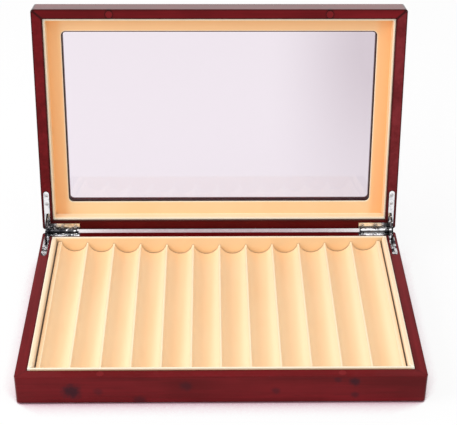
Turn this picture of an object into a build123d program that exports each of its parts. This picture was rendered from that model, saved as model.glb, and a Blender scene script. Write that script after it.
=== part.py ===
from build123d import *
import os
from math import asin, cos, degrees, radians, sin, sqrt

# A lidded display case for twelve pens. World frame in millimetres: X to the right, Y to the back,
# Z up, origin at the middle of the underside. The lid stands open, leaning back on its quadrant
# hinges.

# ---------------------------------------------------------------- driving dimensions
WIDTH = 340.0  # outside, left to right
DEPTH = 215.0  # outside, front to back
BASE_H = 27.9  # wood of the base, without its felt
LID_H = 22.1  # wood of the lid
FELT_T = 0.8
BASE_RAIL = (10.2, 9.3)  # thickness of the side rails, then of the front and back ones
LID_RAIL = (9.9, 9.0)
RIM_GAP = 0.3  # left between the two rims when the lid is shut
OPEN_ANGLE = 100.0  # lid, from shut to its stops
PIN_BEHIND = 2.0  # hinge pin axis, behind the back face
CORNER_R = 2.5  # upright outer corners
OUTER_EASE = 1.2  # outer edges of the bottom and of the top
RIM_EASE = 0.3  # edges of the mating rims

REBATE = 5.0  # how far the boards run into the rails
BOTTOM_BOARD_T = 4.0
FELT_INSET = 5.0

BASE_LINER = (4.3, 2.2)  # velvet-wrapped boards: the sides, then the front and back
LID_LINER = (2.2, 2.2)
BASE_LINER_PROUD = 1.6  # above the base's rim
LID_LINER_SHY = 2.2  # below the lid's rim
LID_LINER_CORNER_R = 2.5
VELVET_EASE = 0.6  # edges that the velvet is drawn over

PITCH = 25.2  # from pen to pen
GROOVES = 12
VELVET_T = 0.8
RIDGE_R = VELVET_T  # the foam's ridges are sharp under the velvet
GROOVE_DEPTH = 10.2  # ridge top to groove bottom
RIDGE_TOP_END = 2.4  # outermost ridges, below the base's rim
RIDGE_TOP_MIDDLE = 6.3  # the tray sags towards its middle
TRAY_PLAY = 0.9  # tray to liner, all round

WINDOW_W = 290.2  # opening in the velvet frame
WINDOW_H = 168.2
WINDOW_SHIFT = 0.4  # towards the front of the lid
WINDOW_R = 4.5
TRIM_DEPTH = 12.0  # lid rim to the face of the velvet frame
TRIM_T = 1.6
RETAINER_T = 3.0
WINDOW_BOARD_T = LID_H - TRIM_DEPTH - TRIM_T - RETAINER_T
WOOD_REVEAL = 1.0  # wood seen inside the velvet opening
GLASS_T = 2.0
GLASS_BEARING = 4.0  # rebate for the glass, on each edge
GLASS_PLAY = 0.25  # glass to its rebate
FIT = 0.05  # glue line round a fitted board

LEAF_T = 1.2
SIDE_LIMB_W = 5.1
SIDE_LIMB_L = 39.0  # from the back face
LIMB_OFFSET = 2.35  # side limb to the outer side face
REAR_LIMB_W = 6.1
REAR_LIMB_END = 35.5  # free end, from the outer side face
KNUCKLE_R = 2.6
KNUCKLE_L = 6.1
KNUCKLE_PITCH = 6.3
KNUCKLES = 5
BARREL_START = 3.0  # from the outer side face
PIN_R = 1.2
BASE_BORE_R = 1.22  # the pin is held here
LID_BORE_R = 1.27  # and turns here
BARREL_ROOM = 0.25  # round the knuckles

STRAP_R = 15.5  # centre line of the quadrant strap
STRAP_W = 3.6
STRAP_T = 1.2
STOP_R = 1.0
STOP_L = 3.6
STOP_PLAY = 0.05  # stop pin to leaf when open
SLOT_L = 5.4  # in the leaves
SLOT_W = 1.8
POCKET_W = 4.0  # in the wood, across
POCKET_RADIAL = 5.2
POCKET_ANGLE = 61.0

SCREW_HEAD_R = 1.8
SCREW_SHANK_R = 0.85
SCREW_HEAD_H = 1.0
SCREW_HEAD_RIM = 0.1  # above the countersink
SCREW_L = 8.0
SCREW_SUNK = 0.05
HOLE_PLAY = 0.08
SCREW_FLATS = 8  # screws are drawn with this many flats
FLATS = 12  # stop pins and magnets are drawn with this many
REAR_SCREWS = (12.3, 19.5, 31.9)  # from the outer side face
REAR_SCREW_IN = 3.5  # from the back face
SIDE_SCREWS = (26.2, 34.8)  # from the back face

MAGNET_R = 3.2
MAGNET_T = 3.0
MAGNET_X = 99.7
MAGNET_IN = 4.8  # from the front face
MAGNET_PLAY = 0.05

# ---------------------------------------------------------------- the two halves
# Each half is drawn in its own frame: z runs from its rim into the half, y to the front, and x to
# the right in the base and to the left in the lid. The same drawing then serves both halves.
RIM_Z = FELT_T + BASE_H
PIN_Y = DEPTH / 2 + PIN_BEHIND
PIN_Z = RIM_Z + RIM_GAP / 2
PIN_LOCAL = (-PIN_Y, -RIM_GAP / 2)  # y and z of the hinge axis in either half's frame

BASE = Plane((0, 0, RIM_Z), x_dir=(1, 0, 0), z_dir=(0, 0, -1))
LID_SHUT = Plane((0, 0, RIM_Z + RIM_GAP), x_dir=(-1, 0, 0), z_dir=(0, 0, 1))
OPENING = Location((0, PIN_Y, PIN_Z), (-OPEN_ANGLE, 0, 0)) * Location((0, -PIN_Y, -PIN_Z))
LID = Plane(OPENING * LID_SHUT.location)

DIRECTIONS = {"front": (0, 1), "back": (0, -1), "left": (-1, 0), "right": (1, 0)}
HANDS = {"left": -1, "right": 1}

pieces = []


def keep(part, label):
    """Name a finished piece and put it with the others."""
    part.label = label
    pieces.append(part)


def hand_in(frame, side):
    """Sign of a left (-1) or right (1) place along the x axis of a half's frame."""
    return side * round(frame.x_dir.X)


def across(frame, x):
    """Plane square to the hinge axis at x: its x runs to the front, its y into the half."""
    origin = frame.from_local_coords((x, *PIN_LOCAL))
    return Plane(origin, x_dir=frame.y_dir, z_dir=frame.x_dir)


def drilling(frame, x, y):
    """Place on the rim that looks out of it, for what is drilled or driven in there."""
    origin = frame.from_local_coords((x, y, 0))
    return Plane(origin, x_dir=frame.x_dir, z_dir=-frame.z_dir).location


def mitres(frame, direction, corner, thickness):
    """Two planes that bound one side of a ring, each through an outer corner and its inner one.

    corner is the outer corner's x and y, and thickness that of the side boards and the end boards.
    """
    planes = []
    for turn in (-1, 1):
        along = Vector(-direction[1] * turn, direction[0] * turn)
        signs = Vector(*direction) + along
        cut = Vector(signs.X * thickness[0], signs.Y * thickness[1])
        inward = Vector(cut.Y, -cut.X)
        if inward.dot(along) > 0:
            inward = -inward
        origin = frame.from_local_coords((signs.X * corner[0], signs.Y * corner[1], 0))
        planes.append(Plane(origin, z_dir=frame.x_dir * inward.X + frame.y_dir * inward.Y))
    return planes


def cut_into_sides(ring, frame, names, corner, thickness):
    """Cut a ring at its mitres into front, back, left and right pieces."""
    for name, direction in DIRECTIONS.items():
        local = (hand_in(frame, direction[0]), direction[1])
        with BuildPart() as side:
            add(ring)
            for plane in mitres(frame, local, corner, thickness):
                split(bisect_by=plane, keep=Keep.TOP)
        keep(side.part, names.format(name))


# ---------------------------------------------------------------- hinge places
POCKET_LINE = CenterArc((0, 0), STRAP_R, 0, POCKET_ANGLE)  # in the plane of the strap
LIMB_X = WIDTH / 2 - LIMB_OFFSET - SIDE_LIMB_W / 2
BARREL_L = KNUCKLE_PITCH * KNUCKLES
BARREL_X = WIDTH / 2 - BARREL_START - BARREL_L / 2


def screw_places(frame, side):
    """Places of one hinge leaf's screws, on the rim."""
    hand = hand_in(frame, side)
    rear = [(hand * (WIDTH / 2 - s), -DEPTH / 2 + REAR_SCREW_IN) for s in REAR_SCREWS]
    limb = [(hand * LIMB_X, -DEPTH / 2 + s) for s in SIDE_SCREWS]
    return [drilling(frame, x, y) for x, y in rear + limb]


def countersunk(places, play=0.0, sunk=0.0):
    """Countersunk heads and shanks at these places: the screws, or with play the holes for them."""
    with BuildPart() as group:
        for place in places:
            with BuildSketch(Plane(place).offset(-sunk)):
                RegularPolygon(SCREW_HEAD_R + play, SCREW_FLATS)
            extrude(amount=-SCREW_HEAD_H)
            out_of_rim = Axis(place.position, Plane(place).z_dir)
            underside = group.faces(Select.LAST).sort_by(out_of_rim)[0]
            chamfer(underside.edges(), SCREW_HEAD_H - SCREW_HEAD_RIM)
            with BuildSketch(Plane(place).offset(-sunk)):
                RegularPolygon(SCREW_SHANK_R + play, SCREW_FLATS)
            extrude(amount=-SCREW_L - play)
    return group.part


def magnets(frame, play=0.0):
    """Closing magnets, flush in the front rim under the lacquer, or with play their seats."""
    with BuildPart() as pair:
        for side in HANDS.values():
            place = drilling(frame, side * MAGNET_X, DEPTH / 2 - MAGNET_IN)
            with BuildSketch(Plane(place)):
                RegularPolygon(MAGNET_R + play, FLATS)
            extrude(amount=-MAGNET_T)
    return pair.part


def leaf_outline(hand):
    """L-shaped outline of a hinge leaf, drawn in the open sketch."""
    rear_l = REAR_LIMB_END - LIMB_OFFSET
    rear_x = WIDTH / 2 - LIMB_OFFSET - rear_l / 2
    with Locations((hand * rear_x, -DEPTH / 2 + REAR_LIMB_W / 2)):
        Rectangle(rear_l, REAR_LIMB_W)
    straight = SIDE_LIMB_L - SIDE_LIMB_W / 2
    with Locations((hand * LIMB_X, -DEPTH / 2 + straight / 2)):
        Rectangle(SIDE_LIMB_W, straight)
    with Locations((hand * LIMB_X, -DEPTH / 2 + straight)):
        Circle(SIDE_LIMB_W / 2)


# ---------------------------------------------------------------- wooden rails
def carcass(frame, height, rail, board_t):
    """Ring of four rails: moulded section, hinge mortises, strap pockets and drilled holes."""
    along = Axis(frame.origin, frame.z_dir)
    inner = (WIDTH - 2 * rail[0], DEPTH - 2 * rail[1])
    screw_holes = countersunk(screw_places(frame, -1) + screw_places(frame, 1), play=HOLE_PLAY)
    with BuildPart() as ring:
        with BuildSketch(frame):
            RectangleRounded(WIDTH, DEPTH, CORNER_R)
            Rectangle(*inner, mode=Mode.SUBTRACT)
        extrude(amount=height)
        chamfer(ring.faces().sort_by(along)[-1].outer_wire().edges(), OUTER_EASE)
        rim = ring.faces().sort_by(along)[0]
        chamfer(rim.outer_wire().edges() + rim.inner_wires()[0].edges(), RIM_EASE)
        with BuildSketch(frame.offset(height - board_t)):
            Rectangle(inner[0] + 2 * REBATE, inner[1] + 2 * REBATE)
        extrude(amount=board_t, mode=Mode.SUBTRACT)
        for side in HANDS.values():
            with BuildSketch(frame):
                leaf_outline(side)
            extrude(amount=LEAF_T, mode=Mode.SUBTRACT)
            with BuildSketch(across(frame, side * BARREL_X)):
                Circle(KNUCKLE_R + BARREL_ROOM)
            extrude(amount=BARREL_L / 2 + BARREL_ROOM, both=True, mode=Mode.SUBTRACT)
            with BuildSketch(across(frame, side * LIMB_X)):
                SlotArc(POCKET_LINE, POCKET_RADIAL)
            extrude(amount=POCKET_W / 2, both=True, mode=Mode.SUBTRACT)
        add(screw_holes, mode=Mode.SUBTRACT)
        add(magnets(frame, MAGNET_PLAY), mode=Mode.SUBTRACT)
    return ring.part


OUTSIDE = (WIDTH / 2, DEPTH / 2)
base_carcass = carcass(BASE, BASE_H, BASE_RAIL, BOTTOM_BOARD_T)
cut_into_sides(base_carcass, BASE, "base_{}_rail", OUTSIDE, BASE_RAIL)
lid_carcass = carcass(LID, LID_H, LID_RAIL, WINDOW_BOARD_T)
cut_into_sides(lid_carcass, LID, "lid_{}_rail", OUTSIDE, LID_RAIL)

# ---------------------------------------------------------------- base board and felt
with BuildPart() as base_bottom_board:
    with BuildSketch(BASE.offset(BASE_H - BOTTOM_BOARD_T)):
        board_in = [rail - REBATE + FIT for rail in BASE_RAIL]
        Rectangle(WIDTH - 2 * board_in[0], DEPTH - 2 * board_in[1])
    extrude(amount=BOTTOM_BOARD_T)
keep(base_bottom_board.part, "base_bottom_board")

with BuildPart() as base_felt:
    with BuildSketch(BASE.offset(BASE_H)):
        RectangleRounded(WIDTH - 2 * FELT_INSET, DEPTH - 2 * FELT_INSET, CORNER_R)
    extrude(amount=FELT_T)
keep(base_felt.part, "base_felt")


# ---------------------------------------------------------------- velvet liners
def liner_ring(frame, rail, liner, start, end, corner_r):
    """Velvet-wrapped boards round the inside of a half, from start to end along its z."""
    outer = (WIDTH - 2 * rail[0], DEPTH - 2 * rail[1])
    along = Axis(frame.origin, frame.z_dir)
    with BuildPart() as ring:
        with BuildSketch(frame.offset(start)):
            Rectangle(*outer)
            if corner_r:
                fillet(vertices(), corner_r)
            Rectangle(outer[0] - 2 * liner[0], outer[1] - 2 * liner[1], mode=Mode.SUBTRACT)
        extrude(amount=end - start)
        edge = ring.faces().sort_by(along)[0]
        chamfer(edge.outer_wire().edges() + edge.inner_wires()[0].edges(), VELVET_EASE)
    return ring.part


def inside_corner(rail):
    return (WIDTH / 2 - rail[0], DEPTH / 2 - rail[1])


base_liners = liner_ring(BASE, BASE_RAIL, BASE_LINER, -BASE_LINER_PROUD, BASE_H - BOTTOM_BOARD_T, 0)
cut_into_sides(base_liners, BASE, "base_{}_liner", inside_corner(BASE_RAIL), BASE_LINER)
lid_liners = liner_ring(LID, LID_RAIL, LID_LINER, LID_LINER_SHY, TRIM_DEPTH, LID_LINER_CORNER_R)
cut_into_sides(lid_liners, LID, "lid_{}_liner", inside_corner(LID_RAIL), LID_LINER)

# ---------------------------------------------------------------- pen tray
# Ridges are circles that sag along a parabola. Each groove is the circle that touches its two
# ridges from outside. The outer ridges run on flat to a round shoulder. Foam and velvet share the
# centres, so the velvet is evenly thick.
TOUCH = (PITCH**2 / 4 + GROOVE_DEPTH**2) / (2 * GROOVE_DEPTH)  # ridge radius plus groove radius
TRAY_BOTTOM = FELT_T + BOTTOM_BOARD_T
TRAY_HALF_W = WIDTH / 2 - BASE_RAIL[0] - BASE_LINER[0] - TRAY_PLAY
TRAY_HALF_L = DEPTH / 2 - BASE_RAIL[1] - BASE_LINER[1] - TRAY_PLAY


def ridge_centre(number):
    """Centre of a ridge's round top, in X and Z."""
    share = 2 * number / GROOVES - 1
    top = RIM_Z - RIDGE_TOP_MIDDLE + (RIDGE_TOP_MIDDLE - RIDGE_TOP_END) * share**2
    return Vector((number - GROOVES / 2) * PITCH, top - RIDGE_R)


def arc_round(centre, start, end):
    """Arc about a centre, the short way from start to end. A sharp ridge has none."""
    radius = (start - centre).length
    if radius > 0:
        ThreePointArc(start, centre + ((start + end) * 0.5 - centre).normalized() * radius, end)


def tray_section(ridge_r):
    """Cross-section of the tray, for its foam or for its foam and velvet."""
    up = Vector(0, ridge_r)
    shoulder = Vector(TRAY_HALF_W - RIDGE_R, ridge_centre(0).Y)
    with BuildSketch(Plane.XZ) as section:
        with BuildLine():
            start = Vector(-shoulder.X - ridge_r, shoulder.Y)
            arc_round(Vector(-shoulder.X, shoulder.Y), start, Vector(-shoulder.X, shoulder.Y) + up)
            Line(Vector(-shoulder.X, shoulder.Y) + up, ridge_centre(0) + up)
            here = ridge_centre(0) + up
            for number in range(GROOVES):
                left = ridge_centre(number)
                right = ridge_centre(number + 1)
                chord = right - left
                rise = sqrt(TOUCH**2 - (chord.length / 2) ** 2)
                centre = (left + right) * 0.5 + Vector(-chord.Y, chord.X).normalized() * rise
                enter = left + (centre - left).normalized() * ridge_r
                leave = right + (centre - right).normalized() * ridge_r
                arc_round(left, here, enter)
                arc_round(centre, enter, leave)
                here = leave
            last = ridge_centre(GROOVES)
            arc_round(last, here, last + up)
            Line(last + up, shoulder + up)
            end = shoulder + Vector(ridge_r, 0)
            arc_round(shoulder, shoulder + up, end)
            Polyline(end, (end.X, TRAY_BOTTOM), (start.X, TRAY_BOTTOM), start)
        make_face()
    return section.sketch


with BuildPart() as pen_tray_foam:
    extrude(tray_section(RIDGE_R - VELVET_T), amount=TRAY_HALF_L - VELVET_T, both=True)
keep(pen_tray_foam.part, "pen_tray_foam")

with BuildPart() as pen_tray_velvet:
    extrude(tray_section(RIDGE_R), amount=TRAY_HALF_L, both=True)
    add(pen_tray_foam.part, mode=Mode.SUBTRACT)
keep(pen_tray_velvet.part, "pen_tray_velvet")

# ---------------------------------------------------------------- window
BOARD_START = LID_H - WINDOW_BOARD_T
CUT_OUT = (WINDOW_W - 2 * WOOD_REVEAL, WINDOW_H - 2 * WOOD_REVEAL)
INSIDE_LID = (WIDTH - 2 * (LID_RAIL[0] + FIT), DEPTH - 2 * (LID_RAIL[1] + FIT))
WINDOW_PLACE = (0, WINDOW_SHIFT)

with BuildPart() as lid_window_board:
    with BuildSketch(LID.offset(BOARD_START)):
        Rectangle(INSIDE_LID[0] + 2 * REBATE, INSIDE_LID[1] + 2 * REBATE)
        with Locations(WINDOW_PLACE):
            RectangleRounded(*CUT_OUT, WINDOW_R - WOOD_REVEAL, mode=Mode.SUBTRACT)
    extrude(amount=WINDOW_BOARD_T)
    outer_face = lid_window_board.faces().sort_by(Axis(LID.origin, LID.z_dir))[-1]
    chamfer(outer_face.inner_wires()[0].edges(), RIM_EASE)
    with BuildSketch(LID.offset(BOARD_START)):
        with Locations(WINDOW_PLACE):
            Rectangle(CUT_OUT[0] + 2 * GLASS_BEARING, CUT_OUT[1] + 2 * GLASS_BEARING)
    extrude(amount=GLASS_T, mode=Mode.SUBTRACT)
keep(lid_window_board.part, "lid_window_board")

with BuildPart() as glass_pane:
    with BuildSketch(LID.offset(BOARD_START)):
        with Locations(WINDOW_PLACE):
            bearing = GLASS_BEARING - GLASS_PLAY
            Rectangle(CUT_OUT[0] + 2 * bearing, CUT_OUT[1] + 2 * bearing)
    extrude(amount=GLASS_T)
keep(glass_pane.part, "glass_pane")

with BuildPart() as glass_retaining_frame:
    with BuildSketch(LID.offset(TRIM_DEPTH + TRIM_T)):
        Rectangle(*INSIDE_LID)
        with Locations(WINDOW_PLACE):
            RectangleRounded(*CUT_OUT, WINDOW_R - WOOD_REVEAL, mode=Mode.SUBTRACT)
    extrude(amount=RETAINER_T)
keep(glass_retaining_frame.part, "glass_retaining_frame")

with BuildPart() as window_trim:
    with BuildSketch(LID.offset(TRIM_DEPTH)):
        Rectangle(*INSIDE_LID)
        with Locations(WINDOW_PLACE):
            RectangleRounded(WINDOW_W, WINDOW_H, WINDOW_R, mode=Mode.SUBTRACT)
    extrude(amount=TRIM_T)
    velvet_face = window_trim.faces().sort_by(Axis(LID.origin, LID.z_dir))[0]
    chamfer(velvet_face.inner_wires()[0].edges(), VELVET_EASE)
keep(window_trim.part, "window_trim")


# ---------------------------------------------------------------- hinges
def leaf(frame, side, knuckles, bore_r):
    """L-shaped hinge leaf, flush in the rim, with its own knuckles on the hinge axis."""
    hand = hand_in(frame, side)
    slot_y = PIN_LOCAL[0] + STRAP_R
    screw_holes = countersunk(screw_places(frame, side), play=HOLE_PLAY)
    with BuildPart() as plate:
        with BuildSketch(frame):
            leaf_outline(hand)
            with Locations((hand * LIMB_X, slot_y)):
                SlotOverall(SLOT_L, SLOT_W, rotation=90, mode=Mode.SUBTRACT)
        extrude(amount=LEAF_T)
        with BuildSketch(across(frame, hand * BARREL_X)):
            Circle(KNUCKLE_R + BARREL_ROOM)
        extrude(amount=BARREL_L / 2 + BARREL_ROOM, both=True, mode=Mode.SUBTRACT)
        for number in knuckles:
            x = hand * (BARREL_X + (number - (KNUCKLES - 1) / 2) * KNUCKLE_PITCH)
            with BuildSketch(across(frame, x)):
                Circle(KNUCKLE_R)
                with Locations(((PIN_BEHIND + KNUCKLE_R) / 2, RIM_GAP / 2 + LEAF_T / 2)):
                    Rectangle(PIN_BEHIND + KNUCKLE_R, LEAF_T)
            extrude(amount=KNUCKLE_L / 2, both=True)
        with BuildSketch(across(frame, hand * BARREL_X)):
            Circle(bore_r)
        extrude(amount=BARREL_L, both=True, mode=Mode.SUBTRACT)
        add(screw_holes, mode=Mode.SUBTRACT)
    return plate.part


def hinge_pin(side):
    """Pin through all five knuckles."""
    with BuildPart() as pin:
        with BuildSketch(across(BASE, side * BARREL_X)):
            Circle(PIN_R)
        extrude(amount=BARREL_L / 2, both=True)
    return pin.part


# The strap reaches past both leaves by the angle at which its stop pins touch them from below.
STOP_DEPTH = RIM_GAP / 2 + LEAF_T + STOP_PLAY + STOP_R
STOP_ANGLE = degrees(asin(STOP_DEPTH / STRAP_R))
STRAP_SPAN = OPEN_ANGLE + 2 * STOP_ANGLE
STRAP_LINE = CenterArc((0, 0), STRAP_R, STOP_ANGLE, -STRAP_SPAN)


def stop_centre(angle):
    return (STRAP_R * cos(radians(angle)), STRAP_R * sin(radians(angle)))


STOP_CENTRES = (stop_centre(STOP_ANGLE), stop_centre(STOP_ANGLE - STRAP_SPAN))


def quadrant_strap(side):
    """Curved check strap, drawn in the base's frame with the lid open."""
    with BuildPart() as strap:
        with BuildSketch(across(BASE, side * LIMB_X)):
            SlotArc(STRAP_LINE, STRAP_W)
            with Locations(*STOP_CENTRES):
                RegularPolygon(STOP_R, FLATS, mode=Mode.SUBTRACT)
        extrude(amount=STRAP_T / 2, both=True)
    return strap.part


def quadrant_stops(side):
    """The strap's two cross pins, wider than the slots in the leaves."""
    with BuildPart() as stops:
        with BuildSketch(across(BASE, side * LIMB_X)):
            with Locations(*STOP_CENTRES):
                RegularPolygon(STOP_R, FLATS)
        extrude(amount=STOP_L / 2, both=True)
    return stops.part


for hand_name, side in HANDS.items():
    keep(leaf(BASE, side, (0, 2, 4), BASE_BORE_R), f"hinge_base_leaf_{hand_name}")
    keep(leaf(LID, side, (1, 3), LID_BORE_R), f"hinge_lid_leaf_{hand_name}")
    keep(hinge_pin(side), f"hinge_pin_{hand_name}")
    keep(quadrant_strap(side), f"quadrant_strap_{hand_name}")
    keep(quadrant_stops(side), f"quadrant_stops_{hand_name}")
for half, frame in {"base": BASE, "lid": LID}.items():
    places = screw_places(frame, -1) + screw_places(frame, 1)
    keep(countersunk(places, sunk=SCREW_SUNK), f"{half}_hinge_screws")
    keep(magnets(frame), f"{half}_magnets")

# ---------------------------------------------------------------- write the pieces
os.makedirs("parts", exist_ok=True)
for piece in pieces:
    export_step(piece, f"parts/{piece.label}.step")
print(len(pieces), "pieces; strap stops at", round(STOP_ANGLE, 2), "degrees past each leaf")
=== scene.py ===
# %% [markdown]
# # A pen case with a glass lid
#
# A flat case of lacquered cherry wood holds twelve pens in a velvet tray. Its lid has a window and
# leans back on two chrome quadrant hinges. The exact wooden, glass and metal pieces come from the
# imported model, and stay where they are. This script gives each a finish, and models the soft pieces
# anew: the liners, the velvet frame round the window, the tray and the felt under the base.

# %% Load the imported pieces
import random
from math import cos, pi, radians, sin, sqrt

import bpy
from mathutils import Matrix, Vector


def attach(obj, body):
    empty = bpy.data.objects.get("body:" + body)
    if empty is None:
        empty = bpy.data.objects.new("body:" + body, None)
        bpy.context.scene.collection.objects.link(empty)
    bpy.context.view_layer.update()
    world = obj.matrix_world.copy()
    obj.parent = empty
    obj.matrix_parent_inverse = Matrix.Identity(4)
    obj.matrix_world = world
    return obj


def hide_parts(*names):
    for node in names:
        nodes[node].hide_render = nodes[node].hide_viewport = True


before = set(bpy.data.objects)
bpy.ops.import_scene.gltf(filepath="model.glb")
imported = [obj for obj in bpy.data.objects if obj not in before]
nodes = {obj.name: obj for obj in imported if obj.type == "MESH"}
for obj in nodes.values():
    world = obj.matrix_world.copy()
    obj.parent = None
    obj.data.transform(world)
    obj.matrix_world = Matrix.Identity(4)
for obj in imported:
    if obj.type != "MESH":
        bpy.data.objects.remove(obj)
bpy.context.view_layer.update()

# %% [markdown]
# ## Camera
#
# The photograph was taken from a little above, in front of the case. Its lens, place and turn were
# worked out from the case's straight edges, so they are set as numbers. A camera looks along its own
# -Z with +Y up, so the three directions below become the columns of its matrix.

# %% Camera
LENS = 97.91
CAMERA_AT = Vector((-0.00905, -0.8928, 0.6899))
YAW, PITCH_DOWN, ROLL = radians(1.013), radians(32.553), radians(-0.399)

ahead = Vector((sin(YAW) * cos(PITCH_DOWN), cos(YAW) * cos(PITCH_DOWN), -sin(PITCH_DOWN)))
level = Vector((cos(YAW), -sin(YAW), 0))
below = ahead.cross(level)
to_right = level * cos(ROLL) + below * sin(ROLL)
to_top = level * sin(ROLL) - below * cos(ROLL)

camera_data = bpy.data.cameras.new("camera")
camera_data.lens = LENS
camera = bpy.data.objects.new("camera", camera_data)
bpy.context.scene.collection.objects.link(camera)
camera_turn = Matrix((to_right, to_top, -ahead)).transposed().to_4x4()
camera.matrix_world = Matrix.Translation(CAMERA_AT) @ camera_turn
bpy.context.scene.camera = camera
print("camera at", [round(v, 3) for v in CAMERA_AT], "lens", LENS)

# %% [markdown]
# ## Shader maths
#
# Every finish here is worked out from nodes, with no pictures. A long chain of Math nodes is hard to
# read, so a small class wraps a socket: adding or multiplying two of them adds the node that does it.
# `Finish` holds one material. Its `add` makes any node, sets its settings first, then its sockets.


# %% Sockets that can be added and multiplied
class Wire:
    """A socket of a finish. Arithmetic on it adds Math nodes."""

    def __init__(self, finish, socket):
        self.finish = finish
        self.socket = socket

    def math(self, operation, *values):
        return self.finish.add("ShaderNodeMath", {"operation": operation}, values)

    def __add__(self, other):
        return self.math("ADD", self, other)

    __radd__ = __add__

    def __mul__(self, other):
        return self.math("MULTIPLY", self, other)

    __rmul__ = __mul__

    def __sub__(self, other):
        return self.math("SUBTRACT", self, other)

    def __rsub__(self, other):
        return self.math("SUBTRACT", other, self)

    def __truediv__(self, other):
        return self.math("DIVIDE", self, other)

    def __rtruediv__(self, other):
        return self.math("DIVIDE", other, self)

    def __pow__(self, other):
        return self.math("POWER", self, other)

    def between(self, low, high):
        """0 below low, 1 above high, with a soft rise."""
        sockets = {"Value": self, "From Min": low, "From Max": high}
        return self.finish.add("ShaderNodeMapRange", {"interpolation_type": "SMOOTHSTEP"}, sockets)


class Finish:
    """A material with one Principled shader."""

    def __init__(self, name, **fixed):
        self.material = bpy.data.materials.new(name)
        self.material.use_nodes = True
        self.tree = self.material.node_tree
        self.tree.nodes.clear()
        self.shader = self.tree.nodes.new("ShaderNodeBsdfPrincipled")
        output = self.tree.nodes.new("ShaderNodeOutputMaterial")
        self.tree.links.new(self.shader.outputs[0], output.inputs["Surface"])
        for name, value in fixed.items():
            self.shader.inputs[name.replace("_", " ")].default_value = value

    def add(self, kind, settings=None, sockets=(), out=0):
        node = self.tree.nodes.new(kind)
        for name, value in (settings or {}).items():
            setattr(node, name, value)
        pairs = sockets.items() if isinstance(sockets, dict) else enumerate(sockets)
        for name, value in pairs:
            if isinstance(value, Wire):
                self.tree.links.new(value.socket, node.inputs[name])
            else:
                node.inputs[name].default_value = value
        return Wire(self, node.outputs[out])

    def feed(self, socket, wire):
        self.tree.links.new(wire.socket, self.shader.inputs[socket])

    def place(self, at=(0, 0, 0), turn=(0, 0, 0), stretch=(1, 1, 1)):
        """Object coordinates, measured from a point and along turned axes, then scaled."""
        raw = self.add("ShaderNodeTexCoord", out="Object")
        settings = {"vector_type": "TEXTURE"}
        sockets = {"Vector": raw, "Location": at, "Rotation": turn, "Scale": [1 / s for s in stretch]}
        return self.add("ShaderNodeMapping", settings, sockets)

    def noise(self, where, scale, detail=2.0, roughness=0.5, distortion=0.0):
        sockets = {"Vector": where, "Scale": scale, "Detail": detail, "Roughness": roughness}
        sockets["Distortion"] = distortion
        return self.add("ShaderNodeTexNoise", None, sockets)

    def blend(self, share, first, second):
        """Mix of two colours."""
        settings = {"data_type": "RGBA", "clamp_factor": True}
        sockets = {0: share, 6: first, 7: second}
        return self.add("ShaderNodeMix", settings, sockets, 2)

    def corner(self, width, inside):
        """1 in a hollow corner, or on an outer edge if inside is true, and 0 on what lies flat."""
        settings = {"inside": inside, "samples": 8}
        open_share = self.add("ShaderNodeAmbientOcclusion", settings, {"Distance": width}, "AO")
        return 1 - open_share

    def bump(self, height, depth, strength=1.0):
        sockets = {"Height": height, "Distance": depth, "Strength": strength}
        return self.add("ShaderNodeBump", None, sockets)


def colour(red, green, blue):
    """A colour as a screen shows it, 0 to 255, as the linear colour that a shader takes."""
    shares = [v / 255 for v in (red, green, blue)]
    linear = [((s + 0.055) / 1.055) ** 2.4 if s > 0.04 else s / 12.92 for s in shares]
    return (*linear, 1.0)


# %% [markdown]
# ## Floor and light
#
# The case stands on a white floor under a soft lamp from the upper left and a wide one overhead. The
# world gives the rest of the light. What the camera sees directly is pure white: the floor and the
# world ask what kind of ray looks at them, so that no extra light falls on the case. A little of the
# floor's own shade is kept, and with it the case's shadow. Deep under the case, where little light
# gets in, the floor is painted rose as a painted shade, and all of its own shade is kept.

# %% World, lamps and floor
WORLD_LIGHT = 0.75
world = bpy.data.worlds.new("studio")
bpy.context.scene.world = world
world.use_nodes = True
tree = world.node_tree
tree.nodes.clear()
rays = tree.nodes.new("ShaderNodeLightPath")
background = tree.nodes.new("ShaderNodeBackground")
output = tree.nodes.new("ShaderNodeOutputWorld")
looking = tree.nodes.new("ShaderNodeMath")
looking.operation = "MAXIMUM"
tree.links.new(rays.outputs["Is Camera Ray"], looking.inputs[0])
tree.links.new(rays.outputs["Is Transmission Ray"], looking.inputs[1])
shining = tree.nodes.new("ShaderNodeMath")
shining.operation = "MAXIMUM"
tree.links.new(looking.outputs[0], shining.inputs[0])
tree.links.new(rays.outputs["Is Glossy Ray"], shining.inputs[1])
strength = tree.nodes.new("ShaderNodeMapRange")
strength.inputs["To Min"].default_value = WORLD_LIGHT
strength.inputs["To Max"].default_value = 1.0
tree.links.new(shining.outputs[0], strength.inputs["Value"])
tree.links.new(strength.outputs[0], background.inputs["Strength"])
tree.links.new(background.outputs[0], output.inputs["Surface"])


def lamp(name, at, target, size, power):
    """A square lamp that faces its target."""
    data = bpy.data.lights.new(name, "AREA")
    data.size = size
    data.energy = power
    light = bpy.data.objects.new(name, data)
    light.location = at
    light.rotation_euler = (Vector(target) - Vector(at)).to_track_quat("-Z", "Y").to_euler()
    bpy.context.scene.collection.objects.link(light)
    return light


lamp("key_lamp", (-1.3, -0.35, 0.95), (0, 0.02, 0.05), 1.0, 13)
lamp("top_lamp", (0.1, -0.25, 1.5), (0, 0.02, 0.05), 1.4, 7)

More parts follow.
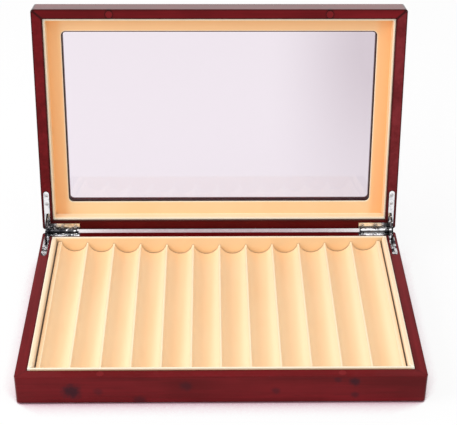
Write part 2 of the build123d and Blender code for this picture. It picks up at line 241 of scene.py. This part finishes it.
bpy.ops.object.select_all(action="DESELECT")
bpy.ops.mesh.primitive_plane_add(size=16, location=(0, 0, 0))
floor = bpy.context.active_object
floor.name = "floor"
FLOOR_SHADE, SHADOW_SHADE = 0.13, 0.87  # how much of the floor's own shade is kept, and added in a gap
FLOOR_WHITE, FLOOR_PAINTED_SHADE = (0.98, 0.97, 0.98, 1), (0.84, 0.5, 0.6, 1)
white = Finish("white_floor", Roughness=0.9, Specular_IOR_Level=0.0)
seen = white.add("ShaderNodeLightPath", out="Is Camera Ray")
through = white.add("ShaderNodeLightPath", out="Is Transmission Ray")
mirrored = white.add("ShaderNodeLightPath", out="Is Glossy Ray")
# Painted shade: deep under the case the floor turns rose.
under = white.corner(0.2, False).between(0.4, 0.52)
white.feed("Base Color", white.blend(under, FLOOR_WHITE, FLOOR_PAINTED_SHADE))
shade = under * SHADOW_SHADE + FLOOR_SHADE
share = seen.math("MAXIMUM", seen, seen.math("MAXIMUM", through, mirrored)) * (1 - shade)
bright = white.add("ShaderNodeEmission", None, {"Color": (1, 1, 1, 1), "Strength": 1.0})
sockets = {0: share, 1: Wire(white, white.shader.outputs[0]), 2: bright}
mixed = white.add("ShaderNodeMixShader", None, sockets)
surface = next(n for n in white.tree.nodes if n.type == "OUTPUT_MATERIAL")
white.tree.links.new(mixed.socket, surface.inputs["Surface"])
floor.data.materials.append(white.material)
bpy.context.scene.view_settings.view_transform = "Standard"
print("floor and lamps made")

# %% [markdown]
# ## Places
#
# The base's pieces lie square in the room. The lid's lean back by its opening angle, so they are
# modelled lying flat in the lid's own frame, with z out of the lid and y to its front edge, and
# then laid in place once they are finished. All sizes here are in millimetres and are turned into
# metres when a primitive is added.

# %% Sizes and the lid's place
MM = 0.001
WIDTH, DEPTH = 340.0, 215.0
RIM = 28.7
PIN_Y, PIN_Z = 109.5, 28.85
RIM_TO_PIN = 0.15
OPEN = radians(100)
LEAN = OPEN - pi / 2

up_lid = Vector((0, sin(LEAN), cos(LEAN)))
out_of_lid = Vector((0, -cos(LEAN), sin(LEAN)))
lid_origin = (Vector((0, PIN_Y, PIN_Z)) + up_lid * PIN_Y - out_of_lid * RIM_TO_PIN) * MM
lid_turn = Matrix(((1, 0, 0), up_lid, out_of_lid)).transposed().to_4x4()
LID_PLACE = Matrix.Translation(lid_origin) @ lid_turn
BASE_PLACE = Matrix.Translation((0, 0, RIM * MM))
print("middle of the lid's rim", [round(v * 1000, 2) for v in lid_origin])


# %% [markdown]
# ## Helpers for edit mode
#
# An operator acts on all that is selected, so each step first says what it wants: `pick` clears the
# selection and selects the edges or faces for which a test on their middle and direction is true.


# %% Add, pick, finish and lay a piece
def box_piece(name, low, high):
    """A block between two corners."""
    bpy.ops.object.select_all(action="DESELECT")
    size = [(h - l) * MM for l, h in zip(low, high)]
    middle = [(h + l) / 2 * MM for l, h in zip(low, high)]
    bpy.ops.mesh.primitive_cube_add(size=1, location=middle, scale=size)
    piece = bpy.context.active_object
    piece.name = name
    bpy.ops.object.transform_apply(location=True, rotation=True, scale=True)
    return piece


def pick(piece, test, kind="EDGE"):
    """In edit mode, select the edges or faces whose middle (in mm) and direction pass the test."""
    bpy.ops.object.mode_set(mode="OBJECT")
    mesh = piece.data
    for group in (mesh.vertices, mesh.edges, mesh.polygons):
        group.foreach_set("select", [False] * len(group))
    count = 0
    if kind == "EDGE":
        for edge in mesh.edges:
            a, b = (mesh.vertices[i].co for i in edge.vertices)
            edge.select = bool(test((a + b) / 2 / MM, (b - a).normalized()))
            count += edge.select
            for i in edge.vertices:
                mesh.vertices[i].select = mesh.vertices[i].select or edge.select
    else:
        for face in mesh.polygons:
            face.select = bool(test(face.center / MM, face.normal))
            count += face.select
    bpy.ops.object.mode_set(mode="EDIT")
    bpy.ops.mesh.select_mode(type=kind)
    return count


def all_faces():
    bpy.ops.object.mode_set(mode="EDIT")
    bpy.ops.mesh.select_mode(type="FACE")
    bpy.ops.mesh.select_all(action="SELECT")


def modify(piece, kind, **settings):
    """Add a modifier and apply it."""
    bpy.ops.object.mode_set(mode="OBJECT")
    step = piece.modifiers.new(kind.lower(), kind)
    for name, value in settings.items():
        setattr(step, name, value)
    bpy.context.view_layer.objects.active = piece
    bpy.ops.object.modifier_apply(modifier=step.name)


def finish_piece(piece, place, body, finish, replaced=(), angle=40):
    """Lay a piece in its place, give it its finish, attach it to its body and hide the parts it
    replaces.
    """
    bpy.ops.object.mode_set(mode="OBJECT")
    bpy.ops.object.select_all(action="DESELECT")
    piece.select_set(True)
    bpy.context.view_layer.objects.active = piece
    bpy.ops.object.shade_smooth_by_angle(angle=radians(angle))
    piece.matrix_world = place @ piece.matrix_world
    bpy.ops.object.transform_apply(location=True, rotation=True, scale=True)
    piece.data.materials.clear()
    piece.data.materials.append(finish.material)
    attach(piece, body)
    if replaced:
        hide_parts(*replaced)
    print(f"{piece.name}: {len(piece.data.polygons)} faces")
    return piece


# %% [markdown]
# ## Velvet
#
# The lining is short-pile velvet the colour of peach skin. Its fibres stand up and catch light at
# their sides, which makes it paler where it is seen at a slant. The shader's sheen does that. Large
# soft patches of lighter and darker colour stand for pile brushed one way or the other, and a fine
# grain with a bump stands for the fibres. The edges are painted paler, a painted highlight, and the
# narrow gaps are painted darker, a painted shade.
#
# Some of the photograph's light is painted into the colours too. Each groove of the tray has a cream
# right flank, the window's velvet frame is more orange at its sides and paler at its foot, and a few
# liners have a tone of their own. This paint stays the same under any other light.


# %% Velvet finishes
def velvet(name, shade, brushed, turn=(0, 0, 0), edge=(0.0014, 0.9), groove=None, fades=()):
    """Short-pile velvet.

    edge is how far and how much its edges are painted paler as a highlight, groove is a pitch and a
    count for the painted highlight on the grooves' flanks, and each of the fades is an axis, where
    along it the painted change starts and ends, and the colour that it leads to.
    """
    finish = Finish(
        name,
        Roughness=0.95,
        Specular_IOR_Level=0.1,
        Sheen_Weight=0.35,
        Sheen_Roughness=0.42,
        Sheen_Tint=colour(255, 240, 218),
    )
    patches = finish.noise(finish.place(turn=turn, stretch=(1, 0.45, 1)), 26, 3, 0.55, 0.3)
    pile = finish.noise(finish.place(), 1500, 2, 0.6)
    specks = finish.noise(finish.place(), 5200, 1, 0.5)
    lay = patches.between(0.3, 0.7) * 0.65 + pile * 0.35
    nap = finish.blend(lay, shade, brushed)
    # Painted highlight: the right flank of each groove turns cream.
    if groove:
        nap = finish.blend(flank_highlight_share(finish, patches, *groove), nap, FLANK_HIGHLIGHT)
    # Painted light: each fade shifts the colour along an axis.
    for axis, low, high, toned in fades:
        parts = finish.add("ShaderNodeSeparateXYZ", None, {0: finish.place()}, axis)
        nap = finish.blend(parts.math("ABSOLUTE", parts).between(low, high), nap, toned)
    reach, amount = edge
    # Painted highlight: the edges turn paler.
    edge_highlight = finish.corner(reach, True)
    nap = finish.blend(edge_highlight.between(0.05, 0.45) * amount, nap, EDGE_HIGHLIGHT_CREAM)
    # Painted shade: the narrow gaps turn brown.
    gap_shade = finish.corner(0.004, False)
    finish.feed("Base Color", finish.blend(gap_shade.between(0.55, 0.95) * 0.9, nap, GAP_SHADE_COLOUR))
    finish.feed("Normal", finish.bump(pile * 0.6 + specks * 0.4, 0.00012, 0.35))
    return finish


def flank_highlight_share(finish, patches, pitch, count):
    """Painted highlight: rises over the right half of each groove, further near the front, and past its
    ridge.
    """
    parts = finish.add("ShaderNodeSeparateXYZ", None, {0: finish.place()})
    along = Wire(finish, parts.socket.node.outputs[1])
    number = parts / (pitch * MM) + count / 2
    start = 0.6 + along * 1.3 + (patches - 0.5) * 0.25
    within = number.math("GREATER_THAN", number, 0.0)
    part = number.math("FRACT", number)
    over_ridge = (1 - part.between(0.02, 0.1)) * 0.85
    past_ridge = (1 - part.between(0.0, 0.4)) * 0.65
    beyond = part.math("MAXIMUM", over_ridge, past_ridge)
    return part.math("MAXIMUM", part.between(start, 0.97) * within, beyond) * 0.62


EDGE_HIGHLIGHT_CREAM = colour(255, 251, 234)
FLANK_HIGHLIGHT = colour(255, 239, 206)
GAP_SHADE_COLOUR = colour(96, 44, 20)
LINER_EDGE = (0.0019, 1.0)
LID_TURN = (LEAN, 0, 0)
FRAME_EDGE = (0.0014, 1.0)
TRAY_EDGE = (0.0014, 0.15)


def liner_velvet(name, shade, brushed, turn=(0, 0, 0)):
    return velvet(name, colour(*shade), colour(*brushed), turn, LINER_EDGE)


# Painted light and shade: the liners' separate tones follow how light falls on each side.
base_velvet = liner_velvet("base_liner_velvet", (252, 214, 166), (254, 222, 178))
side_velvet = liner_velvet("base_side_velvet", (252, 222, 184), (254, 230, 196))
lower_velvet = liner_velvet("lid_lower_velvet", (253, 220, 180), (254, 227, 190), LID_TURN)
lid_velvet = liner_velvet("lid_liner_velvet", (255, 221, 174), (255, 228, 184), LID_TURN)
# Painted light: the frame turns paler towards its foot and more orange at its sides.
FRAME_PAINTED_LIGHT = [
    (2, 0.07, 0.15, colour(254, 208, 157)),
    (0, 0.142, 0.15, colour(255, 197, 139)),
]
frame_shades = (colour(254, 213, 161), colour(255, 219, 170))
frame_velvet = velvet("window_frame_velvet", *frame_shades, LID_TURN, FRAME_EDGE, fades=FRAME_PAINTED_LIGHT)
right_velvet = liner_velvet("lid_right_velvet", (252, 200, 150), (254, 207, 158), LID_TURN)

# %% [markdown]
# ## Liners
#
# Four thin boards wrapped in velvet stand round the inside of each half and meet in mitres. Each is
# a block: its upper edges are bevelled round, since cloth can't turn a sharp corner, and its ends are
# cut off at 45 degrees by bisecting. The lid's boards have their pointed tips taken off as well. The
# base's boards stand a little above the wooden rim and the lid's lie below it, so that they slide
# together when the case shuts.

# %% Liner sizes
BASE_HALF = (WIDTH / 2 - 10.2, DEPTH / 2 - 9.3)
LID_HALF = (WIDTH / 2 - 9.9, DEPTH / 2 - 9.0)
BASE_BOARD = (4.3, 2.2)
LID_BOARD = (2.2, 2.2)
PROUD, BASE_FLOOR = 1.6, -23.9
SHY, LID_FLOOR = -2.2, -12.0
CLOTH_R = 0.5
LID_TIP_R = 1.3
SIDES = {"front": (0, -1), "back": (0, 1), "left": (-1, 0), "right": (1, 0)}


def liner(name, half, board, bottom, top, side, tip=0):
    """One velvet-wrapped board, mitred at both ends. Its two pointed tips can be rounded."""
    sx, sy = side
    sign = sx + sy
    run = 1 if sx else 0
    face = 1 - run
    outer = half[face]
    inner = outer - board[face]
    low, high = [0, 0, bottom], [0, 0, top]
    low[run], high[run] = -half[run], half[run]
    low[face], high[face] = sorted((sign * inner, sign * outer))
    piece = box_piece(name, low, high)
    round_in = board[face] * 0.42
    for at, radius in ((inner, round_in), (outer, CLOTH_R)):
        beside = sign * at
        pick(piece, lambda m, d: abs(d[run]) > 0.9 and m.z > top - 0.01 and abs(m[face] - beside) < 0.01)
        bpy.ops.mesh.bevel(offset=radius * MM, segments=5, profile=0.5)
    for end in (-1, 1):
        all_faces()
        corner, across = [0, 0, 0], [0, 0, 0]
        corner[run], corner[face] = end * half[run] * MM, sign * outer * MM
        across[run], across[face] = end * board[face], -sign * board[run]
        bpy.ops.mesh.bisect(plane_co=corner, plane_no=across, use_fill=True, clear_outer=True)
    if tip:
        pick(piece, lambda m, d: abs(d.z) > 0.9 and abs(m[run]) > half[run] - 0.05)
        bpy.ops.mesh.bevel(offset=tip * MM, segments=4, profile=0.5, clamp_overlap=True)
    bpy.ops.object.mode_set(mode="OBJECT")
    return piece


for name, side in SIDES.items():
    piece = liner(f"base_{name}_lining", BASE_HALF, BASE_BOARD, BASE_FLOOR, PROUD, side)
    finish = base_velvet if side[1] else side_velvet
    finish_piece(piece, BASE_PLACE, "base", finish, [f"base_{name}_liner"])

# The lid's front edge is its upper one, so front and back change places in its own frame.
LID_SIDES = {"front": (0, 1), "back": (0, -1), "left": (-1, 0), "right": (1, 0)}
for name, side in LID_SIDES.items():
    piece = liner(f"lid_{name}_lining", LID_HALF, LID_BOARD, LID_FLOOR, SHY, side, LID_TIP_R)
    finish = {"back": lower_velvet, "right": right_velvet}.get(name, lid_velvet)
    finish_piece(piece, LID_PLACE, "lid", finish, [f"lid_{name}_liner"])

# %% [markdown]
# ## Velvet frame round the window
#
# A thin board covered in velvet hides the edge of the glass. Its opening has rounded corners and a
# soft edge. It is a block with a second block, rounded at its upright edges, taken out of it.

# %% Window frame
WINDOW = (290.2, 168.2)
WINDOW_SHIFT = 0.4
WINDOW_R = 4.5
TRIM_TOP, TRIM_T = -12.0, 1.6
inside = (LID_HALF[0] - 0.05, LID_HALF[1] - 0.05)

trim = box_piece("window_frame_velvet", (-inside[0], -inside[1], TRIM_TOP - TRIM_T), (*inside, TRIM_TOP))
lowest = (-WINDOW[0] / 2, WINDOW_SHIFT - WINDOW[1] / 2, TRIM_TOP - 5)
highest = (WINDOW[0] / 2, WINDOW_SHIFT + WINDOW[1] / 2, TRIM_TOP + 5)
cutter = box_piece("window_cutter", lowest, highest)
pick(cutter, lambda m, d: abs(d.z) > 0.9)
bpy.ops.mesh.bevel(offset=WINDOW_R * MM, segments=10, profile=0.5)
bpy.ops.object.mode_set(mode="OBJECT")
modify(trim, "BOOLEAN", operation="DIFFERENCE", object=cutter, solver="EXACT")
bpy.data.objects.remove(cutter)
reach = (WINDOW[0] / 2 + 1, WINDOW[1] / 2 + 2)


def round_opening(m, d):
    return m.z > TRIM_TOP - 0.01 and abs(m.x) < reach[0] and abs(m.y) < reach[1] and abs(d.z) < 0.5


pick(trim, round_opening)
bpy.ops.mesh.bevel(offset=CLOTH_R * MM, segments=4, profile=0.5)
finish_piece(trim, LID_PLACE, "lid", frame_velvet, ["window_trim"])

# %% [markdown]
# ## Pen tray
#
# The tray is a foam block with twelve round grooves under velvet. It is made as such foam is cut: a
# block whose top sags a little towards its middle, twelve cylinders taken out of it, and the ridges
# left between them eased by a bevel. Bisecting it across at even steps keeps its long faces short.

# %% Tray
PITCH, GROOVES = 25.2, 12
tray_shades = (colour(255, 214, 166), colour(255, 221, 178))
tray_velvet = velvet("tray_velvet", *tray_shades, edge=TRAY_EDGE, groove=(PITCH, GROOVES))
RIDGE_R, GROOVE_DEPTH = 0.8, 10.2
RIDGE_LOW_END, RIDGE_LOW_MIDDLE = 2.4, 6.3
TRAY_HALF = (154.3, 95.1)
TRAY_FLOOR = 4.8
TOUCH = (PITCH**2 / 4 + GROOVE_DEPTH**2) / (2 * GROOVE_DEPTH)
GROOVE_R = TOUCH - RIDGE_R


def ridge_top(number):
    share = 2 * number / GROOVES - 1
    return RIM - RIDGE_LOW_MIDDLE + (RIDGE_LOW_MIDDLE - RIDGE_LOW_END) * share**2


tray = box_piece("pen_tray", (-TRAY_HALF[0], -TRAY_HALF[1], TRAY_FLOOR), (*TRAY_HALF, RIM))
for number in range(GROOVES + 1):
    all_faces()
    at = ((number - GROOVES / 2) * PITCH * MM, 0, 0)
    bpy.ops.mesh.bisect(plane_co=at, plane_no=(1, 0, 0))
bpy.ops.object.mode_set(mode="OBJECT")
for point in tray.data.vertices:
    if point.co.z > TRAY_FLOOR * MM + 0.001:
        number = min(max(point.co.x / MM / PITCH + GROOVES / 2, 0), GROOVES)
        point.co.z = ridge_top(number) * MM

cutters = []
for number in range(GROOVES):
    left = Vector(((number - GROOVES / 2) * PITCH, ridge_top(number) - RIDGE_R))
    right = Vector((left.x + PITCH, ridge_top(number + 1) - RIDGE_R))
    chord = right - left
    rise = sqrt(TOUCH**2 - (chord.length / 2) ** 2)
    centre = (left + right) / 2 + Vector((-chord.y, chord.x)).normalized() * rise
    bpy.ops.object.select_all(action="DESELECT")
    bpy.ops.mesh.primitive_cylinder_add(
        vertices=96,
        radius=GROOVE_R * MM,
        depth=(2 * TRAY_HALF[1] + 10) * MM,
        location=(centre.x * MM, 0, centre.y * MM),
        rotation=(pi / 2, 0, 0),
    )
    cutters.append(bpy.context.active_object)
for cutter in cutters:
    cutter.select_set(True)
bpy.context.view_layer.objects.active = cutters[0]
bpy.ops.object.join()
cutter = bpy.context.active_object
modify(tray, "BOOLEAN", operation="DIFFERENCE", object=cutter, solver="EXACT")
bpy.data.objects.remove(cutter)


def on_ridge(m, d):
    number = m.x / PITCH + GROOVES / 2
    near = abs(number - round(number)) * PITCH
    return abs(d.y) > 0.9 and m.z > 20 and 0.2 < near < 1.6 and abs(m.x) < TRAY_HALF[0] + 1


found = pick(tray, on_ridge)
bpy.ops.mesh.bevel(offset=0.8 * MM, segments=6, profile=0.5, clamp_overlap=True)
print("ridge edges rounded:", found)
pick(tray, lambda m, d: abs(d.y) > 0.9 and m.z > 20 and abs(m.x) > TRAY_HALF[0] - 0.01)
bpy.ops.mesh.bevel(offset=1.5 * MM, segments=4, profile=0.5, clamp_overlap=True)
STEPS = 20
for number in range(1, STEPS):
    all_faces()
    y = (-1 + 2 * number / STEPS) * TRAY_HALF[1] * MM
    bpy.ops.mesh.bisect(plane_co=(0, y, 0), plane_no=(0, 1, 0))
bpy.ops.object.mode_set(mode="OBJECT")
TRAY_PARTS = ["pen_tray_foam", "pen_tray_velvet"]
finish_piece(tray, Matrix(), "base", tray_velvet, TRAY_PARTS, 50)

# %% [markdown]
# ## Felt under the base
#
# Black felt keeps the case from scratching a table.

# %% Felt
FELT_IN, FELT_T = 5.0, 0.8
felt_half = (WIDTH / 2 - FELT_IN, DEPTH / 2 - FELT_IN)
felt = box_piece("felt_pad", (-felt_half[0], -felt_half[1], 0), (*felt_half, FELT_T))
pick(felt, lambda m, d: abs(d.z) > 0.9)
bpy.ops.mesh.bevel(offset=2.5 * MM, segments=5, profile=0.5)
pick(felt, lambda m, d: m.z > 0.79 and abs(d.z) < 0.5)
bpy.ops.mesh.bevel(offset=0.25 * MM, segments=2, profile=0.5)
felt_finish = Finish(
    "black_felt",
    Roughness=1.0,
    Specular_IOR_Level=0.1,
    Sheen_Weight=0.3,
    Sheen_Roughness=0.6,
)
fibres = felt_finish.noise(felt_finish.place(), 900, 4, 0.7, 0.8)
felt_finish.feed("Base Color", felt_finish.blend(fibres, colour(24, 22, 24), colour(58, 55, 58)))
felt_finish.feed("Normal", felt_finish.bump(fibres, 0.0002, 0.6))
finish_piece(felt, Matrix(), "base", felt_finish, ["base_felt"])

# %% [markdown]
# ## Cherry lacquer
#
# The wood is stained deep cherry red and sprayed with clear lacquer until it shines. Under the
# lacquer run fine dark streaks along each rail, and a few smoky knots show in the front. The coat is
# the shader's own clear coat. Each rail's grain runs along it, so the pattern is turned to the rail.
# Edges and joints are painted darker, a painted shade. The rails differ a little in tone, which
# follows how light falls on them in the photograph.


# %% Lacquered wood
CHERRY_TONES = ((90, 6, 11), (119, 19, 26))


def cherry(name, turn, knots=(), tones=CHERRY_TONES, dark_edge=0.9, coat=0.75, gap=0.85):
    """Lacquered wood. dark_edge and gap are how much painted shade darkens outer edges and joints, coat
    how glossy.
    """
    finish = Finish(name, Specular_IOR_Level=0.1, Coat_Roughness=0.08, Coat_IOR=1.45)
    streaks = finish.noise(finish.place(turn=turn, stretch=(0.035, 1, 1)), 260, 4, 0.6, 0.4)
    bands = finish.noise(finish.place(turn=turn, stretch=(0.12, 1, 1)), 40, 3, 0.5, 0.6)
    pores = finish.noise(finish.place(turn=turn, stretch=(0.05, 1, 1)), 900, 2, 0.5)
    clouds = finish.noise(finish.place(), 22, 3, 0.6)
    tone = streaks * 0.35 + bands * 0.4 + clouds * 0.25
    red = finish.blend(tone.between(0.35, 0.65), colour(*tones[0]), colour(*tones[1]))
    red = finish.blend(pores.between(0.62, 0.75) * 0.25, red, colour(60, 6, 10))
    smoke = None
    for at, size, depth in knots:
        place = [v * MM for v in at]
        offset = finish.place(at=place)
        wobble = finish.noise(finish.place(at=place), 180, 3, 0.6)
        far = finish.add("ShaderNodeVectorMath", {"operation": "LENGTH"}, {0: offset}, "Value")
        reach = far / (size * MM) + (wobble - 0.5) * 0.9
        spot = (1 - reach.between(0.25, 1.0)) * depth
        smoke = spot if smoke is None else spot.math("MAXIMUM", smoke, spot)
    if smoke is not None:
        red = finish.blend(smoke, red, colour(46, 16, 28))
    # Painted shade: outer edges turn darker.
    edge = finish.corner(0.0022, True)
    red = finish.blend(edge.between(0.08, 0.4) * dark_edge, red, colour(44, 1, 2))
    # Painted shade: hollow corners and joints turn darker.
    hollow = finish.corner(0.004, False)
    red = finish.blend(hollow.between(0.08, 0.4) * gap, red, colour(40, 1, 2))
    finish.feed("Base Color", red)
    slant = finish.add("ShaderNodeLayerWeight", None, {"Blend": 0.5}, "Facing")
    finish.feed("Coat Weight", slant.between(0.3, 0.7) * coat + 0.06)
    finish.feed("Roughness", 0.36 + streaks * 0.12)
    finish.feed("Normal", finish.bump(clouds * 0.7 + streaks * 0.3, 0.00008, 0.25))
    return finish


ALONG_X = (0, 0, 0)
ALONG_Y = (0, 0, pi / 2)
FRONT = -DEPTH / 2
KNOTS = [
    ((-123.4, FRONT, 13.6), 11.0, 0.85),
    ((-101.7, FRONT, 13.3), 5.5, 0.4),
    ((-67.5, FRONT, 3.5), 7.5, 0.5),
    ((-29.1, FRONT, 18.8), 7.5, 0.5),
    ((45.1, FRONT, 13.5), 5.0, 0.5),
    ((95.8, FRONT, 25.0), 4.5, 0.5),
    ((109.9, FRONT, 22.8), 6.5, 0.75),
    ((110.7, FRONT, 8.8), 5.0, 0.55),
]
front_cherry = cherry("cherry_front", ALONG_X, KNOTS, dark_edge=0.12)
magnet_tones = ((112, 18, 24), (130, 34, 38))
magnet_cherry = cherry("cherry_magnet", ALONG_X, tones=magnet_tones, dark_edge=0.0, gap=0.0)
long_cherry = cherry("cherry_long", ALONG_X)
# Painted light and shade: the rear rails are darker, the lid's board and right rail lighter. The glass's
# retaining frame is darker still and barely glossy.
rear_cherry = cherry("cherry_rear", ALONG_X, tones=((74, 1, 3), (100, 8, 11)))
side_cherry = cherry("cherry_side", ALONG_Y, dark_edge=0.25)
lid_side_cherry = cherry("cherry_lid_side", (LEAN, 0, pi / 2))
window_cherry = cherry("cherry_window", ALONG_X, tones=((58, 2, 4), (80, 6, 9)), coat=0.05)
board_tones = ((104, 18, 20), (132, 36, 36))
board_cherry = cherry("cherry_board", ALONG_X, tones=board_tones, dark_edge=0.3, coat=0.4, gap=0.1)
right_tones = ((98, 20, 25), (128, 40, 46))
lid_right_cherry = cherry("cherry_lid_right", (LEAN, 0, pi / 2), tones=right_tones)

for name, finish in {
    "base_front_rail": front_cherry,
    "base_back_rail": rear_cherry,
    "base_left_rail": side_cherry,
    "base_right_rail": side_cherry,
    "lid_front_rail": long_cherry,
    "lid_back_rail": rear_cherry,
    "lid_left_rail": lid_side_cherry,
    "lid_right_rail": lid_right_cherry,
    "lid_window_board": board_cherry,
    "glass_retaining_frame": window_cherry,
    "base_bottom_board": long_cherry,
    "base_magnets": magnet_cherry,
    "lid_magnets": magnet_cherry,
}.items():
    nodes[name].data.materials.clear()
    nodes[name].data.materials.append(finish.material)

# %% [markdown]
# ## Glass, chrome and steel
#
# The pane is plain float glass with a trace of lavender. Its right side, more so near its top, is
# painted darker as a painted shade, as the photograph shows it. The hinge leaves, the straps and the
# screws are polished chrome, and the pins are ground steel.
#
# In the photograph the chrome mirrors dark wood and a black room in places. Part of that is painted
# here, fixed to the leaves: the lower side of each barrel, most of the left barrel, a band at the root
# of the lid's leaves and the bend between their limbs are black, broken by a noise. The straps are
# painted black with painted glints, the plate's smears are partly a painted reflection, and slots and
# gaps are painted black as shade. The paint doesn't follow the light or the view as a true reflection
# would.

# %% Glass and metal
glass = Finish("window_glass", Roughness=0.0, IOR=1.45, Transmission_Weight=1.0)
# Painted shade: the pane turns darker towards its right side and its top.
across_pane = glass.add("ShaderNodeSeparateXYZ", None, {0: glass.place()})
up_pane = Wire(glass, across_pane.socket.node.outputs[2])
pane_shade = across_pane.between(0.04, 0.15) * (0.45 + up_pane.between(0.06, 0.2) * 0.65)
glass.feed("Base Color", glass.blend(pane_shade, colour(241, 232, 240), colour(214, 202, 211)))

BRIGHT, DULL, BLACK = (0.92, 0.92, 0.93, 1), (0.6, 0.6, 0.63, 1), (0.02, 0.02, 0.025, 1)
DARK = (0.05, 0.05, 0.055, 1)
STRAP_DARK, STRAP_GLINT = (0.02, 0.02, 0.022, 1), (0.85, 0.85, 0.87, 1)


def plated(name, dull, barrel, root_shade=0.0, steps=(0.35, 0.55)):
    """Chrome plate. Slots and gaps are painted black as shade, and the smears are partly a painted
    reflection. barrel and root_shade are how dark the barrel and the leaves' root are painted.
    """
    finish = Finish(name, Metallic=1.0)
    # Partly a painted reflection: the smears patch the plate dull or dark and bright.
    smear_and_reflection = finish.noise(finish.place(), 160, 3, 0.6)
    plate = finish.blend(smear_and_reflection.between(*steps), dull, BRIGHT)
    at_pin = finish.place(at=(0, PIN_Y * MM, PIN_Z * MM))
    square = finish.add("ShaderNodeVectorMath", {"operation": "MULTIPLY"}, {0: at_pin, 1: (0, 1, 1)})
    far = finish.add("ShaderNodeVectorMath", {"operation": "LENGTH"}, {0: square}, "Value")
    height = finish.add("ShaderNodeSeparateXYZ", None, {0: at_pin}, 2)
    # Painted reflection: the barrel's lower side, the left barrel, the root band and the bend are black.
    below = (1 - far.between(0.0027, 0.0032)) * (1 - height.between(0.0006, 0.0022))
    plate = finish.blend(below * barrel, plate, BLACK)
    sides = finish.add("ShaderNodeSeparateXYZ", None, {0: at_pin})
    glint = finish.noise(finish.place(), 330, 2, 0.5)
    unlit = 1 - glint.between(0.54, 0.62)
    on_left = (1 - far.between(0.003, 0.0034)) * (1 - sides.between(-0.01, 0.01))
    plate = finish.blend(on_left * unlit * 0.93, plate, BLACK)
    root = far.between(0.0028, 0.0031) * (1 - far.between(0.0042, 0.0048)) * root_shade
    plate = finish.blend(root * unlit, plate, BLACK)
    across = sides.math("ABSOLUTE", sides)
    bend = across.between(0.157, 0.16) * (1 - across.between(0.1652, 0.166))
    near = 1 - far.between(0.011, 0.014)
    plate = finish.blend(bend * near * unlit * 0.9, plate, BLACK)
    # Painted shade: slots and gaps turn black.
    hollow = finish.corner(0.0022, False)
    finish.feed("Base Color", finish.blend(hollow.between(0.25, 0.75) * 0.95, plate, BLACK))
    finish.feed("Roughness", 0.08 + smear_and_reflection * 0.14)
    return finish


lid_chrome = plated("lid_hinge_chrome", DULL, 0.85, 0.85)
base_chrome = plated("base_hinge_chrome", DARK, 0.85, 0.0, (0.42, 0.5))
screw_chrome = plated("screw_chrome", DULL, 0.0)
# Painted reflection: the strap is black with painted glints.
strap_painted_chrome = Finish("strap_chrome", Metallic=1.0, Roughness=0.14)
glints = strap_painted_chrome.noise(strap_painted_chrome.place(), 420, 3, 0.65)
strap_colour = strap_painted_chrome.blend(glints.between(0.58, 0.7), STRAP_DARK, STRAP_GLINT)
strap_painted_chrome.feed("Base Color", strap_colour)
steel = Finish("pin_steel", Base_Color=(0.5, 0.5, 0.52, 1), Metallic=1.0, Roughness=0.3)
for name in nodes:
    finish = None
    if name == "glass_pane":
        finish = glass
    elif name.startswith("hinge_pin") or name.startswith("quadrant_stops"):
        finish = steel
    elif "strap" in name:
        finish = strap_painted_chrome
    elif "hinge" in name:
        finish = lid_chrome if "lid" in name else base_chrome
    if finish:
        nodes[name].data.materials.clear()
        nodes[name].data.materials.append(finish.material)

# %% [markdown]
# ## Screws
#
# Each leaf has five small countersunk screws with a cross recess. One is modelled: a disc with an
# eased rim whose underside is drawn in to the shank, with two crossed blocks taken out of its head.
# It is copied to every place and turned at random, as screws end up.

# %% One screw, and its copies
HEAD_R, HEAD_T, SHANK_R = 1.6, 0.4, 0.85
bpy.ops.object.select_all(action="DESELECT")
bpy.ops.mesh.primitive_cylinder_add(
    vertices=32,
    radius=HEAD_R * MM,
    depth=HEAD_T * MM,
    location=(0, 0, -HEAD_T / 2 * MM),
)
screw = bpy.context.active_object
bpy.ops.object.transform_apply(location=True, rotation=True, scale=True)
pick(screw, lambda m, n: n.z < -0.9, "FACE")
for depth, width in ((0.8, SHANK_R / HEAD_R), (6.0, 0.6)):
    bpy.ops.mesh.extrude_region_move(TRANSFORM_OT_translate={"value": (0, 0, -depth * MM)})
    bpy.ops.transform.resize(value=(width, width, 1))
pick(screw, lambda m, d: m.z > -0.01 and abs(d.z) < 0.1)
bpy.ops.mesh.bevel(offset=0.2 * MM, segments=3, profile=0.5)
bpy.ops.object.mode_set(mode="OBJECT")
for half in ((1.15, 0.3), (0.3, 1.15)):
    recess = box_piece("recess", (-half[0], -half[1], -0.6), (half[0], half[1], 1))
    modify(screw, "BOOLEAN", operation="DIFFERENCE", object=recess, solver="EXACT")
    bpy.data.objects.remove(recess)

SUNK = 0.04
SCREW_PLACES = [(12.3, 3.5), (19.5, 3.5), (31.9, 3.5), (4.9, 26.2), (4.9, 34.8)]
turns = random.Random(12)
for body, place, back in (("base", BASE_PLACE, 1), ("lid", LID_PLACE, -1)):
    copies = []
    for side in (-1, 1):
        for from_side, from_back in SCREW_PLACES:
            copy = bpy.data.objects.new("screw", screw.data.copy())
            bpy.context.scene.collection.objects.link(copy)
            x, y = side * (WIDTH / 2 - from_side), back * (DEPTH / 2 - from_back)
            at = Matrix.Translation((x * MM, y * MM, -SUNK * MM))
            copy.matrix_world = at @ Matrix.Rotation(turns.uniform(0, pi), 4, "Z")
            copies.append(copy)
    bpy.ops.object.select_all(action="DESELECT")
    for copy in copies:
        copy.select_set(True)
    bpy.context.view_layer.objects.active = copies[0]
    bpy.ops.object.join()
    group = bpy.context.active_object
    group.name = f"{body}_leaf_screws"
    bpy.ops.object.transform_apply(location=True, rotation=True, scale=True)
    finish_piece(group, place, body, screw_chrome, [f"{body}_hinge_screws"], 30)
bpy.data.objects.remove(screw)
